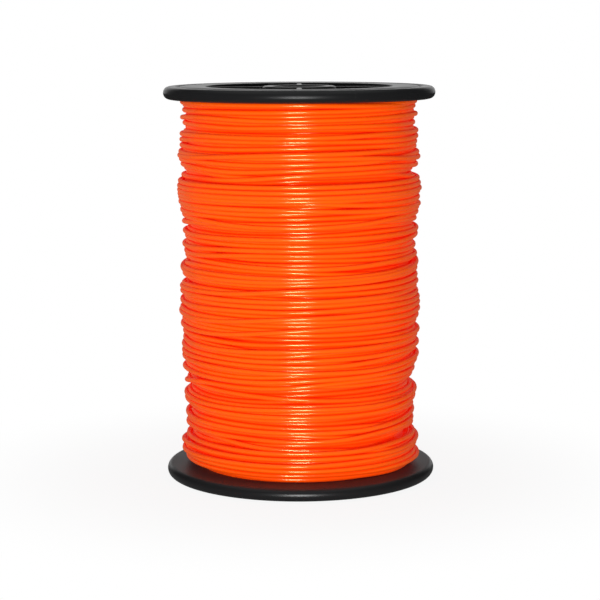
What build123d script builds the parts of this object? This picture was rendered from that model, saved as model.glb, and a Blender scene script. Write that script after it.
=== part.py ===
"""Spool of trimmer line: a one-piece moulded spool and the line that is cross wound on it.

Millimetres, +Z up along the spool's axis. The origin is the centre of the face that it stands on.
"""
from build123d import *
from math import cos, pi
import os

# Spool
flange_diameter = 132.0
flange_thickness = 6.0
overall_height = 191.0
barrel_diameter = 36.0
bore_diameter = 25.4

# Edge and outer face of each flange
rim_depth = 2.8
rim_steps = 6
rim_land_width = 2.7
rim_groove_width = 3.0
rim_groove_depth = 1.2
recess_diameter = 91.0
recess_depth = 3.6
hub_chamfer = 1.2
rib_count = 4
rib_thickness = 2.6
rib_drop = 0.3

# Wound line
line_diameter = 2.4
winding_diameter = 114.6
turn_pitch = 3.0
chords_per_turn = 20
winding_swell = 0.8
swell_count = 2.5
winding_clearance = 0.2

os.makedirs("parts", exist_ok=True)

# The spool is one moulding, alike at both ends. Its section runs outward along the lower face: hub,
# recess, flat land, groove and a half-oval rim in short flats. It is mirrored at mid-height and turned
# about the axis.
bore_radius = bore_diameter / 2
barrel_radius = barrel_diameter / 2
recess_radius = recess_diameter / 2
rim_start_radius = flange_diameter / 2 - rim_depth
groove_outer_radius = rim_start_radius - rim_land_width
groove_inner_radius = groove_outer_radius - rim_groove_width
groove_mid_radius = (groove_inner_radius + groove_outer_radius) / 2
with BuildPart() as spool:
    with BuildSketch(Plane.XZ):
        with BuildLine():
            outer_face = Polyline(
                (bore_radius, hub_chamfer),
                (bore_radius + hub_chamfer, 0),
                (barrel_radius - hub_chamfer, 0),
                (barrel_radius, hub_chamfer),
                (barrel_radius, recess_depth),
                (recess_radius, recess_depth),
                (recess_radius, 0),
                (groove_inner_radius, 0),
                (groove_mid_radius, rim_groove_depth),
                (groove_outer_radius, 0),
                (rim_start_radius, 0),
            )
            rim_curve = EllipticalCenterArc(
                (rim_start_radius, flange_thickness / 2),
                rim_depth,
                flange_thickness / 2,
                start_angle=-90,
                arc_size=180,
                mode=Mode.PRIVATE,
            )
            rim = Polyline(*[rim_curve @ (step / rim_steps) for step in range(rim_steps + 1)])
            inner_face = Line(rim @ 1, (barrel_radius, flange_thickness))
            mirror(about=Plane.XZ.offset(-overall_height / 2))
            Line(outer_face @ 0, (bore_radius, overall_height - hub_chamfer))
            Line(inner_face @ 1, (barrel_radius, overall_height - flange_thickness))
        make_face()
    revolve(axis=Axis.Z)
    # Radial ribs cross each recess from the hub to the land and stiffen the thin web behind it.
    rib_start_radius = (bore_radius + barrel_radius) / 2
    for face_height, inward in ((0, 1), (overall_height, -1)):
        with BuildSketch(Plane.XY.offset(face_height + inward * rib_drop)):
            with PolarLocations((rib_start_radius + recess_radius) / 2, rib_count):
                Rectangle(recess_radius - rib_start_radius, rib_thickness)
        extrude(amount=inward * (recess_depth - rib_drop))
spool.part.label = "spool"
export_step(spool.part, "parts/spool.step")

# The wound line fills the barrel from flange to flange. Each turn of its outer layer stands out as a
# ridge, a ring of straight chords, and the layer swells and dips along the spool.
winding_length = overall_height - 2 * flange_thickness
turn_count = round(winding_length / turn_pitch)
with BuildPart() as line_winding:
    for half_turn in range(2 * turn_count + 1):
        rise = half_turn / (2 * turn_count)
        swell = winding_swell * cos(2 * pi * swell_count * rise)
        sunk = line_diameter / 2 if half_turn % 2 == 0 else 0
        with BuildSketch(Plane.XY.offset(flange_thickness + winding_length * rise)):
            RegularPolygon(winding_diameter / 2 + swell - sunk, chords_per_turn)
    loft(ruled=True)
    with Locations((0, 0, overall_height / 2)):
        Cylinder(barrel_radius + winding_clearance, winding_length, mode=Mode.SUBTRACT)
line_winding.part.label = "line_winding"
export_step(line_winding.part, "parts/line_winding.step")
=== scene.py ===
"""Looks of a spool of trimmer line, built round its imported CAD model.

Metres, +Z up along the spool's axis. The spool stands on the floor at the origin, and -Y is its front.
"""
import math
import bpy
import numpy as np
from mathutils import Matrix, Vector


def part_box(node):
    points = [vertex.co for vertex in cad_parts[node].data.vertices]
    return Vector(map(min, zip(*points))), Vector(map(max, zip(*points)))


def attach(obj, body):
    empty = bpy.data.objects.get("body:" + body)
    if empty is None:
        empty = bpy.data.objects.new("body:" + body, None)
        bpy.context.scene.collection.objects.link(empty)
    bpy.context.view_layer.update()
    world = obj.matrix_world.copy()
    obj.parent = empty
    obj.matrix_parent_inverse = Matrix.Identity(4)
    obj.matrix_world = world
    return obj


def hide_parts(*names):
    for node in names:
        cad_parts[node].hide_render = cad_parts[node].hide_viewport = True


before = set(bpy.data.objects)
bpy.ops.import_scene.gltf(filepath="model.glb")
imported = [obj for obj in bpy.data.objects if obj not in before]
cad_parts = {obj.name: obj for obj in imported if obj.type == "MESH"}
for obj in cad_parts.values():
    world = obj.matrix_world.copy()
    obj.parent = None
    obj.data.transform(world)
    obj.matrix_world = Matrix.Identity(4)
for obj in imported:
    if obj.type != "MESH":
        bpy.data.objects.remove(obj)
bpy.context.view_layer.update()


# Spool: one black plastic moulding, two flanges on a tubular barrel with a plain bore for the arbor.
# It is turned here from its half section, with the moulding's own radii on every edge, and four
# stiffening ribs stand across the shallow recess of each flange.
mm = 0.001
spool_low, spool_high = (Vector(corner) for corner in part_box("spool"))
spool_height = spool_high.z - spool_low.z
flange_radius = min(spool_high.x, spool_high.y, -spool_low.x, -spool_low.y)
flange_thickness = 6.0 * mm
rim_depth = 2.8 * mm
groove_centre = 59.0 * mm
groove_half_width = 1.5 * mm
groove_depth = 1.2 * mm
groove_softness = 0.1
groove_steps = 6
recess_radius = 45.5 * mm
recess_depth = 3.6 * mm
barrel_radius = 18.0 * mm
bore_radius = 12.7 * mm
hub_lip = 1.3 * mm
inner_fillet = 0.7 * mm
outer_round = 0.4 * mm
spool_segments = 192
rib_count = 4
rib_thickness = 2.6 * mm
rib_drop = 0.3 * mm
rib_round = 0.5 * mm
sharp_angle = math.radians(40)

spool_black = (0.011, 0.011, 0.0117, 1)
inner_face_black = (0.03, 0.03, 0.031, 1)
inner_edge = 0.5 * mm
seam_width = 0.12 * mm
grain_depth = 0.05 * mm
turning_marks = 9000


def arc(centre, size, start, sweep, steps):
    """Points (radius, height) along part of an oval, from a start angle through a sweep in degrees."""
    angles = [math.radians(start + sweep * step / steps) for step in range(steps + 1)]
    return [(centre[0] + size[0] * math.cos(a), centre[1] + size[1] * math.sin(a)) for a in angles]


def flange_outline():
    """Half section of the lower end, from the bore out over the face and rim and back to the barrel."""
    lip = (hub_lip, hub_lip)
    fillet = (inner_fillet, inner_fillet)
    edge = (outer_round, outer_round)
    rim = (rim_depth, flange_thickness / 2)
    points = arc((bore_radius + hub_lip, hub_lip), lip, 180, 90, 8)
    points += arc((barrel_radius - hub_lip, hub_lip), lip, 270, 90, 8)
    points += arc((barrel_radius + inner_fillet, recess_depth - inner_fillet), fillet, 180, -90, 5)
    points += arc((recess_radius - inner_fillet, recess_depth - inner_fillet), fillet, 90, -90, 5)
    points += arc((recess_radius + outer_round, outer_round), edge, 180, 90, 5)
    for step in range(-groove_steps, groove_steps + 1):
        across = step / groove_steps
        fall = math.hypot(1, groove_softness) - math.hypot(across, groove_softness)
        points.append((groove_centre + groove_half_width * across, groove_depth * fall))
    points += arc((flange_radius - rim_depth, flange_thickness / 2), rim, -90, 180, 24)
    points += arc((barrel_radius + inner_fillet, flange_thickness + inner_fillet), fillet, 270, -90, 5)
    return points


def grid_mesh(name, points, looped):
    """A smooth mesh over rows of points. Each row closes on itself, and the rows run in a loop or are
    closed with a cap at each end."""
    rows, columns = points.shape[:2]
    index = np.arange(rows * columns).reshape(rows, columns)
    onward = np.roll(index, -1, axis=0)
    quads = np.stack([index, onward, np.roll(onward, -1, axis=1), np.roll(index, -1, axis=1)], axis=-1)
    if looped:
        faces = quads.reshape(-1, 4).tolist()
    else:
        faces = quads[:-1].reshape(-1, 4).tolist() + [index[0].tolist(), index[-1, ::-1].tolist()]
    mesh = bpy.data.meshes.new(name)
    mesh.from_pydata(points.reshape(-1, 3).tolist(), [], faces)
    mesh.polygons.foreach_set("use_smooth", [True] * len(mesh.polygons))
    return mesh


def turned(name, radius, height):
    """A closed mesh turned about Z. Each row of radius is the section at one angle."""
    segments = len(radius)
    angle = 2 * math.pi * np.arange(segments)[:, None] / segments
    level = np.tile(height, (segments, 1))
    points = np.stack([radius * np.cos(angle), radius * np.sin(angle), level], axis=-1)
    return grid_mesh(name, points, looped=True)


def stand_ribs():
    """The ribs of both flanges: bars with a rounded crest, from inside the hub to the recess wall."""
    points = []
    faces = []
    crest = arc((rib_thickness / 2 - rib_round, rib_round), (rib_round, rib_round), -90, 90, 4)
    section = crest + [(rib_thickness / 2, recess_depth), (-rib_thickness / 2, recess_depth)]
    section += [(-across, depth) for across, depth in reversed(crest)]
    count = len(section)
    for face, inward in ((spool_low.z, 1), (spool_high.z, -1)):
        for rib in range(rib_count):
            turn = Matrix.Rotation(2 * math.pi * rib / rib_count, 3, "Z")
            first = len(points)
            for reach in ((bore_radius + barrel_radius) / 2, recess_radius + outer_round):
                for across, depth in section:
                    points.append(turn @ Vector((reach, across, face + inward * (rib_drop + depth))))
            for side in range(count):
                after = (side + 1) % count
                faces.append([first + side, first + after, first + count + after, first + count + side])
            faces.append([first + side for side in range(count)])
            faces.append([first + count + side for side in range(count)])
    mesh = bpy.data.meshes.new("ribs")
    mesh.from_pydata(points, [], faces)
    return mesh


def add_object(name, content):
    """Puts a mesh, a lamp or a camera into the scene as an object of that name."""
    piece = bpy.data.objects.new(name, content)
    bpy.context.collection.objects.link(piece)
    return piece


class Shade:
    """A socket of a node tree: arithmetic on it adds Math nodes, and node() adds any other node."""

    def __init__(self, tree, socket=None):
        self.tree = tree
        self.socket = socket

    def node(self, kind, settings, sockets, output=0):
        """Adds a node: its settings first, then its sockets, by name or by number."""
        made = self.tree.nodes.new(kind)
        for setting, value in settings.items():
            setattr(made, setting, value)
        for name, value in sockets.items():
            self.feed(self.find(made.inputs, name), value)
        return Shade(self.tree, self.find(made.outputs, output))

    def find(self, sockets, name):
        """The socket of that number, or of that name among those that the node's settings leave in use."""
        if isinstance(name, int):
            return sockets[name]
        return next(socket for socket in sockets if socket.enabled and socket.name == name)

    def feed(self, place, value):
        """Links a Shade to a socket, or sets a plain value on it."""
        if isinstance(value, Shade):
            self.tree.links.new(value.socket, place)
        else:
            place.default_value = value

    def math(self, operation, first, second=0.0):
        """A Math node on one or two values."""
        return self.node("ShaderNodeMath", {"operation": operation}, {0: first, 1: second})

    def __add__(self, other):
        return self.math("ADD", self, other)

    __radd__ = __add__

    def __sub__(self, other):
        return self.math("SUBTRACT", self, other)

    def __rsub__(self, other):
        return self.math("SUBTRACT", other, self)

    def __mul__(self, other):
        return self.math("MULTIPLY", self, other)

    __rmul__ = __mul__

    def __truediv__(self, other):
        return self.math("DIVIDE", self, other)

    def __rtruediv__(self, other):
        return self.math("DIVIDE", other, self)

    def __pow__(self, other):
        return self.math("POWER", self, other)

    def __rpow__(self, other):
        return self.math("POWER", other, self)

    def __abs__(self):
        return self.math("ABSOLUTE", self)

    def axes(self):
        """The X, Y and Z of a vector."""
        return [self.node("ShaderNodeSeparateXYZ", {}, {"Vector": self}, axis) for axis in range(3)]

    def noise(self, scale, detail):
        """A noise from 0 to 1 at this place on the surface, with so many waves to the metre."""
        return self.node("ShaderNodeTexNoise", {}, {"Vector": self, "Scale": scale, "Detail": detail})

    def within(self, low, high):
        """This value from low to high as a smooth step from 0 to 1."""
        step = {"interpolation_type": "SMOOTHSTEP"}
        return self.node("ShaderNodeMapRange", step, {"Value": self, "From Min": low, "From Max": high})

    def blend(self, first, second):
        """A colour: the first where this value is 0, the second where it is 1."""
        sockets = {"Factor": self, "A": first, "B": second}
        return self.node("ShaderNodeMix", {"data_type": "RGBA"}, sockets, "Result")

    def bump(self, strength, distance):
        """A normal from this value as a height."""
        sockets = {"Strength": strength, "Distance": distance, "Height": self}
        return self.node("ShaderNodeBump", {}, sockets)


def new_material(name):
    """A material with its shader, a Shade to build on and the place on the object in metres."""
    material = bpy.data.materials.new(name)
    material.use_nodes = True
    shade = Shade(material.node_tree)
    place = shade.node("ShaderNodeTexCoord", {}, {}, "Object")
    return material, material.node_tree.nodes["Principled BSDF"], shade, place


def moulded_black():
    """Satin black plastic: fine moulded grain and turning marks, uneven gloss, a mould seam round each
    rim, pale scuffs where it is handled and paler, duller inner faces."""
    material, surface, shade, place = new_material("moulded_black")
    x, y, z = place.axes()
    radius = (x * x + y * y) ** 0.5
    from_middle = abs(z - spool_height / 2)
    inner_face = spool_height / 2 - flange_thickness
    rim = radius.within(flange_radius - rim_depth, flange_radius)
    inside = 1 - from_middle.within(inner_face, inner_face + inner_edge)
    flow = place.noise(scale=45, detail=3)
    scuff = place.noise(scale=420, detail=4).within(0.64, 0.82) * (0.1 + 0.5 * rim)
    grain = place.noise(scale=2600, detail=2)
    turning = shade.math("SINE", radius * turning_marks)
    seam = 1 - abs(from_middle - inner_face - flange_thickness / 2).within(0, seam_width)
    surface.inputs["Specular IOR Level"].default_value = 0.32
    colour = (scuff + 0.9 * inside).blend(spool_black, inner_face_black)
    shade.feed(surface.inputs["Base Color"], colour)
    shade.feed(surface.inputs["Roughness"], 0.28 + 0.08 * flow + 0.12 * scuff + 0.18 * inside)
    height = 0.5 * grain + 0.12 * turning + 1.2 * seam * rim + 0.7 * scuff
    shade.feed(surface.inputs["Normal"], height.bump(strength=0.35, distance=grain_depth))
    return material


lower_end = flange_outline()
upper_end = [(radius, spool_height - height) for radius, height in reversed(lower_end)]
section = np.array(lower_end + upper_end)
section_radius = np.tile(section[:, 0], (spool_segments, 1))
spool = add_object("spool_moulding", turned("spool_moulding", section_radius, section[:, 1]))
ribs = add_object("ribs", stand_ribs())
for mesh in (spool.data, ribs.data):
    mesh.validate()
union = spool.modifiers.new("ribs", "BOOLEAN")
union.operation = "UNION"
union.solver = "EXACT"
union.object = ribs
joined = spool.evaluated_get(bpy.context.evaluated_depsgraph_get())
spool.data = bpy.data.meshes.new_from_object(joined)
spool.modifiers.clear()
bpy.data.objects.remove(ribs)
spool.data.polygons.foreach_set("use_smooth", [True] * len(spool.data.polygons))
spool.data.set_sharp_from_angle(angle=sharp_angle)
spool.data.materials.clear()
spool.data.materials.append(moulded_black())
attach(spool, "root")
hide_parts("spool")


# Wound line: one strand of orange extruded nylon, cross wound from flange to flange under a guide that
# travels up and down. Every turn slides into the grooves between the turns below, climbs over those
# that it crosses and is drawn tight, so the strand is laid here in that way, turn by turn.
winding_low, winding_high = (Vector(corner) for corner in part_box("line_winding"))
winding_length = winding_high.z - winding_low.z
line_radius = 1.2 * mm
lowest = line_radius + 0.05 * mm
highest = winding_length - lowest

# The layers: how many are laid and drawn, how they build up, and how the winding swells along the spool.
pass_count = 5
shown_passes = 3
pass_rise = 1.9 * mm
crest_margin = 0.8 * line_radius
base_radius = winding_high.x - crest_margin - pass_count * pass_rise
swell = 0.8 * mm
swell_count = 2.5
foot_rise = 1.6 * mm
foot_reach = 10.0 * mm

# The guide: its pitch, and how it strays and jumps ahead. The runs and the jump's width are in turns.
mean_pitch = 3.4 * mm
pitch_spread = 0.3
pitch_run = 0.5
wander = 0.8 * mm
wander_run = 0.3
jump_count = 10
jump_pace = 4.0
last_jump_pace = 8.0
jump_width = 0.13

# The strand is settled at nodes and drawn tight at cells, on a field that holds the radius laid so far.
cells_per_turn = 360
cells_per_node = 5
nodes_per_turn = cells_per_turn // cells_per_node
nodes_per_pass = round(winding_length / mean_pitch) * nodes_per_turn
laid_nodes = nodes_per_turn // 2
field_step = 0.2 * mm
slide_offsets = np.linspace(-1.5, 1.5, 13) * mm
guide_pull = 0.12 / mm
bend_cost = 2.0 / mm
slack_size = 0.35 * mm
slack_onset = 1
slack_run = 60
press_start = 0.6 * mm
press_give = 0.4
radius_smoothing = 10
height_smoothing = 12
tuck_depth = 3.5 * mm
tuck_cells = cells_per_turn // 5

# The tubes and the core that stand for it, and the colours of the nylon, with their painted shade and
# painted red glow.
line_sides = 12
cells_per_ring = 3
core_thinning = 2
core_clearance = 0.2 * mm
# Painted shade: the nylon's colour runs from this orange, where the strand faces outward on the top layer,
# to a darker red on its sides and on the turns further down.
unshaded_orange = (0.98, 0.115, 0.0006, 1)
painted_groove_shade = (0.95, 0.038, 0.0003, 1)
# A painted red glow: the nylon gives off a little red light of its own, which keeps its shaded grooves
# bright.
painted_red_glow = (1, 0.01, 0, 1)
gloss_tint = (1, 0.85, 0.45, 1)
# Depths under the top layer over which the painted shade deepens to the red.
groove_shade_top = -0.4 * mm
groove_shade_floor = -3.2 * mm
die_line_depth = 0.03 * mm

draws = np.random.default_rng(11)
footprint_reach = round(line_radius / field_step)
footprint = np.arange(-footprint_reach, footprint_reach + 1)
footprint_rise = np.sqrt(np.maximum(line_radius**2 - (footprint * field_step) ** 2, 0))
field_height = np.arange(int(winding_length / field_step) + 2) * field_step


def layer_radius(height, layer):
    """Mean radius of the strand's centre line at a height, on top of that many layers. The winding swells
    and dips along the spool, and it is fullest at its foot."""
    swelling = swell * np.cos(2 * math.pi * swell_count * height / winding_length)
    foot = foot_rise * np.exp(-((height / foot_reach) ** 2))
    return base_radius + line_radius + layer * pass_rise + swelling + foot


field = np.tile(layer_radius(field_height, 0) - line_radius, (cells_per_turn, 1))


def smooth(values, width):
    """Values along the strand, averaged over a bell of that width."""
    reach = int(3 * width)
    bell = np.exp(-0.5 * (np.arange(-reach, reach + 1) / width) ** 2)
    return np.convolve(np.pad(values, reach, mode="edge"), bell / bell.sum(), mode="valid")


def soft_noise(count, width):
    """Smooth noise along the strand with a spread of one."""
    values = smooth(draws.normal(size=count), width)
    return values / values.std()


def guide_path(layer):
    """Heights of the guide at each node of one pass, up or down. Its pitch is uneven, it wanders and it
    jumps ahead here and there, farthest on the last pass."""
    leap = last_jump_pace if layer == pass_count - 1 else jump_pace
    pace = np.exp(pitch_spread * soft_noise(nodes_per_pass, pitch_run * nodes_per_turn))
    for jump in draws.uniform(0, nodes_per_pass, jump_count):
        turns_off = (np.arange(nodes_per_pass) - jump) / nodes_per_turn
        pace += leap * np.exp(-((turns_off / jump_width) ** 2))
    height = lowest + (highest - lowest) * np.cumsum(pace) / pace.sum()
    room = np.minimum(height - lowest, highest - height) / mean_pitch
    straying = soft_noise(nodes_per_pass, wander_run * nodes_per_turn)
    height = height + wander * np.minimum(room, 1) * straying
    return np.clip(height if layer % 2 == 0 else winding_length - height, lowest, highest)


def resting_radius(cells, height):
    """Radius at which the strand rests on the layers below, at the given cells and heights."""
    index = np.rint(height / field_step).astype(int)[..., None] + footprint
    index = np.clip(index, 0, len(field_height) - 1)
    cells = cells.reshape(cells.shape + (1,) * (index.ndim - cells.ndim))
    return (field[cells, index] + footprint_rise).max(axis=-1)


def settle(cells, guide, start):
    """Sideways slide of the strand at each node: down into grooves, but without sharp bends."""
    heights = np.clip(guide[:, None] + slide_offsets, lowest, highest)
    cost = resting_radius(cells, heights) + guide_pull * slide_offsets**2
    bend = bend_cost * (slide_offsets[:, None] - slide_offsets) ** 2
    best = np.where(np.arange(len(slide_offsets)) == start, 0, np.inf)
    origins = []
    for node_cost in cost[1:]:
        step = best[:, None] + bend
        origins.append(step.argmin(axis=0))
        best = step.min(axis=0) + node_cost
    states = [best.argmin()]
    for origin in reversed(origins):
        states.append(origin[states[-1]])
    return states[::-1]


def draw_taut(angles, radius):
    """Radius of the strand once it is pulled tight: it runs straight between the points that carry it."""
    xs = (radius * np.cos(angles)).tolist()
    ys = (radius * np.sin(angles)).tolist()
    carried = []
    for cell in range(len(xs)):
        while len(carried) > 1:
            first, last = carried[-2:]
            run_x, run_y = xs[last] - xs[first], ys[last] - ys[first]
            if run_x * (ys[cell] - ys[last]) - run_y * (xs[cell] - xs[last]) > 0:
                break
            carried.pop()
        carried.append(cell)
    taut = radius.copy()
    for first, last in zip(carried[:-1], carried[1:]):
        span = slice(first + 1, last)
        run_x, run_y = xs[last] - xs[first], ys[last] - ys[first]
        facing = run_x * np.sin(angles[span]) - run_y * np.cos(angles[span])
        taut[span] = (xs[last] * ys[first] - ys[last] * xs[first]) / facing
    return taut


def lay_strand(guide):
    """Lays the whole strand, half a turn at a time, and tucks its end in. Gives its radius and height at
    each cell, and the field as it was before the passes that are shown."""
    slack = slack_size * np.maximum(soft_noise(len(guide) * cells_per_node, slack_run) - slack_onset, 0)
    laid = slice(0, laid_nodes * cells_per_node)
    start = len(slide_offsets) // 2
    radii = []
    heights = []
    for first in range(0, len(guide) - 1, laid_nodes):
        if first == (pass_count - shown_passes) * nodes_per_pass:
            core_field = field.copy()
        nodes = guide[first : first + nodes_per_turn + 1]
        node_cells = (first + np.arange(len(nodes))) * cells_per_node
        states = settle(node_cells % cells_per_turn, nodes, start)
        start = states[min(laid_nodes, len(states) - 1)]
        cells = np.arange(node_cells[0], node_cells[-1])
        height = np.interp(cells, node_cells, nodes + slide_offsets[states])
        height = np.clip(height, lowest, highest)
        resting = resting_radius(cells % cells_per_turn, height) + slack[cells]
        if radii:
            resting[0] = max(resting[0], radii[-1][-1])
        radius = draw_taut(2 * math.pi * cells / cells_per_turn, resting)
        proud = np.maximum(radius - layer_radius(height, first // nodes_per_pass) - press_start, 0)
        radius = radius - (1 - press_give) * proud
        index = np.rint(height[laid] / field_step).astype(int)
        for reach, rise in zip(footprint, footprint_rise):
            at = (cells[laid] % cells_per_turn, np.clip(index + reach, 0, len(field_height) - 1))
            field[at] = np.maximum(field[at], radius[laid] + rise)
        radii.append(radius[laid])
        heights.append(height[laid])
    radius = smooth(np.concatenate(radii), radius_smoothing)
    radius[-tuck_cells:] -= tuck_depth * np.linspace(0, 1, tuck_cells) ** 2
    return radius, smooth(np.concatenate(heights), height_smoothing), core_field


def strand(name, radius, height):
    """A round tube along the strand, closed at both ends."""
    picked = np.arange(0, len(radius), cells_per_ring)
    angle = 2 * math.pi * picked / cells_per_turn
    out = np.stack([np.cos(angle), np.sin(angle), np.zeros(len(angle))], axis=-1)
    path = out * radius[picked, None]
    path[:, 2] = winding_low.z + height[picked]
    along = np.gradient(path, axis=0)
    along /= np.linalg.norm(along, axis=1, keepdims=True)
    out = out - along * (out * along).sum(axis=1, keepdims=True)
    out /= np.linalg.norm(out, axis=1, keepdims=True)
    side = np.cross(along, out)
    turn = 2 * math.pi * np.arange(line_sides) / line_sides
    ring = np.cos(turn)[:, None] * out[:, None, :] + np.sin(turn)[:, None] * side[:, None, :]
    return add_object(name, grid_mesh(name, path[:, None, :] + line_radius * ring, looped=False))


def nylon_orange():
    """Glossy extruded nylon, dyed through, with uneven dye and fine die lines. Its colour holds painted
    shade, orange on the crests of the strand and redder down in the grooves, and a painted red glow."""
    material, surface, shade, place = new_material("nylon_orange")
    x, y, z = place.axes()
    facing_x, facing_y, _ = shade.node("ShaderNodeTexCoord", {}, {}, "Normal").axes()
    radius = (x * x + y * y) ** 0.5
    # Painted shade: 1 where the strand faces straight out, falling to 0 on its sides.
    crest = ((x * facing_x + y * facing_y) / radius).within(0.15, 0.95)
    # Painted shade: 1 on the top layer, falling to 0 on the turns further down.
    wave = (z - winding_low.z) * (2 * math.pi * swell_count / winding_length)
    outer_radius = base_radius + 2 * line_radius + (pass_count - 1) * pass_rise
    unshaded_top_layer = (radius - outer_radius - swell * shade.math("COSINE", wave)).within(groove_shade_floor, groove_shade_top)
    dye = place.noise(scale=130, detail=3)
    streak = place.noise(scale=900, detail=2)
    edge = shade.node("ShaderNodeLayerWeight", {}, {"Blend": 0.5}, "Facing").within(0.45, 0.9)
    surface.inputs["Specular IOR Level"].default_value = 0.9
    surface.inputs["Specular Tint"].default_value = gloss_tint
    # Painted red glow, shining with no lamp on it.
    surface.inputs["Emission Color"].default_value = painted_red_glow
    surface.inputs["Emission Strength"].default_value = 0.12
    # The painted shade and the uneven dye together set the colour between the red and the orange.
    unshaded_share = crest * (0.55 + 0.45 * unshaded_top_layer) * (0.85 + 0.3 * dye)
    shade.feed(surface.inputs["Base Color"], unshaded_share.blend(painted_groove_shade, unshaded_orange))
    shade.feed(surface.inputs["Roughness"], 0.16 + 0.06 * streak + 0.55 * edge)
    shade.feed(surface.inputs["Normal"], streak.bump(strength=0.06, distance=die_line_depth))
    return material


guide = np.concatenate([guide_path(layer) for layer in range(pass_count)])
strand_radius, strand_height, core_field = lay_strand(guide)
core_outside = core_field[::core_thinning, ::core_thinning]
core_inside = np.full((len(core_outside), 1), barrel_radius + core_clearance)
core_radius = np.concatenate([core_inside, core_outside, core_inside], axis=1)
core_rows = np.concatenate([[0], field_height[::core_thinning], field_height[-1:]])
core_height = winding_low.z + np.minimum(core_rows, winding_length)
winding = [add_object("wound_line_core", turned("wound_line_core", core_radius, core_height))]
cells_per_pass = nodes_per_pass * cells_per_node
for number in range(1, shown_passes + 1):
    start = (pass_count - shown_passes + number - 1) * cells_per_pass
    shown = slice(start, start + cells_per_pass + cells_per_ring)
    winding.append(strand(f"wound_line_{number}", strand_radius[shown], strand_height[shown]))
orange = nylon_orange()
for piece in winding:
    piece.data.materials.append(orange)
    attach(piece, "root")
    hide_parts("line_winding")


# Studio: a pale floor that keeps the spool's shadow and fades to white, one softbox behind the camera
# that stays lower than the top flange's face, and white surroundings. What is mirrored in the spool is
# a dim room with a pale backdrop behind it and a faint glow overhead.
floor_reach = 0.2
shadow_reach = 0.07
floor_white = (0.86, 0.86, 0.86, 1)
room_dimness = 0.03


def ray_kinds(shade):
    """Whether a ray comes from the camera, and whether it comes from a mirror or through something clear."""
    camera_ray, mirror_ray, clear_ray = (
        shade.node("ShaderNodeLightPath", {}, {}, f"Is {kind} Ray")
        for kind in ("Camera", "Glossy", "Transmission")
    )
    return camera_ray, shade.math("MINIMUM", mirror_ray + clear_ray, 1.0)


def studio_floor():
    """A square of white paper. The camera sees it mostly as plain white, so that its shadow stays faint,
    and mirrors see it dim."""
    corners = [(-1, -1), (1, -1), (1, 1), (-1, 1)]
    mesh = bpy.data.meshes.new("floor")
    mesh.from_pydata([(floor_reach * x, floor_reach * y, 0) for x, y in corners], [], [(0, 1, 2, 3)])
    material, paper, shade, place = new_material("floor_white")
    paper.inputs["Base Color"].default_value = floor_white
    paper.inputs["Roughness"].default_value = 0.9
    x, y, _ = place.axes()
    away = ((x * x + y * y) ** 0.5).within(shadow_reach, floor_reach)
    camera_ray, mirrored = ray_kinds(shade)
    glow = shade.node("ShaderNodeEmission", {}, {"Strength": 1 - 0.85 * mirrored})
    share = mirrored + camera_ray * (0.9 + 0.1 * away)
    paper_shade = Shade(material.node_tree, paper.outputs[0])
    mix = shade.node("ShaderNodeMixShader", {}, {0: share, 1: paper_shade, 2: glow})
    shade.feed(material.node_tree.nodes["Material Output"].inputs["Surface"], mix)
    mesh.materials.append(material)
    add_object("floor", mesh)


def surroundings():
    """The world: white to the camera, brightest at the sides and behind as light on the spool, and in its
    gloss a dim room with the backdrop and the glow overhead."""
    world = bpy.data.worlds.new("surroundings")
    bpy.context.scene.world = world
    world.use_nodes = True
    background = world.node_tree.nodes["Background"]
    shade = Shade(world.node_tree)
    right, away, rise = shade.node("ShaderNodeTexCoord", {}, {}, "Generated").axes()
    camera_ray, mirrored = ray_kinds(shade)
    backdrop = away.within(0.82, 0.97) * rise.within(-0.06, -0.01) * (1 - 0.9 * rise.within(0.25, 0.7))
    overhead = 0.45 * rise.within(0.6, 0.95)
    gloss = room_dimness + (1 - room_dimness) * backdrop + overhead
    from_sides = 0.6 * right * right - 0.22 * right
    from_behind = 0.55 * away.within(-0.2, 1.0)
    level = 1 - 0.6 * abs(rise).within(0.15, 0.75)
    light = (0.35 + from_sides + from_behind) * level
    strength = camera_ray + (1 - camera_ray) * (mirrored * gloss + (1 - mirrored) * light)
    shade.feed(background.inputs["Strength"], strength)
    background.inputs["Color"].default_value = (1, 1, 1, 1)


def softbox(name, place, target, width, height, radiance):
    """A soft rectangular lamp, aimed at a point, that shines with the given radiance."""
    lamp = bpy.data.lights.new(name, "AREA")
    lamp.shape = "RECTANGLE"
    lamp.size = width
    lamp.size_y = height
    lamp.energy = radiance * math.pi * width * height
    body = add_object(name, lamp)
    body.location = place
    body.rotation_euler = (Vector(target) - Vector(place)).to_track_quat("-Z", "Y").to_euler()


studio_floor()
surroundings()
softbox(
    "front_softbox",
    place=(-0.02, -1.2, 0.095),
    target=(0, 0, 0.095),
    width=0.36,
    height=0.19,
    radiance=50.0,
)

camera = add_object("camera", bpy.data.cameras.new("camera"))
camera.data.lens = 118.3
camera.data.sensor_width = 36.0
camera_place = Matrix.Translation((0, -0.9615, 0.2239))
pitch = Matrix.Rotation(math.pi / 2 - math.radians(8.16), 4, "X")
roll = Matrix.Rotation(math.radians(-0.22), 4, "Z")
camera.matrix_world = camera_place @ pitch @ roll
bpy.context.scene.camera = camera
bpy.context.scene.view_settings.view_transform = "Standard"
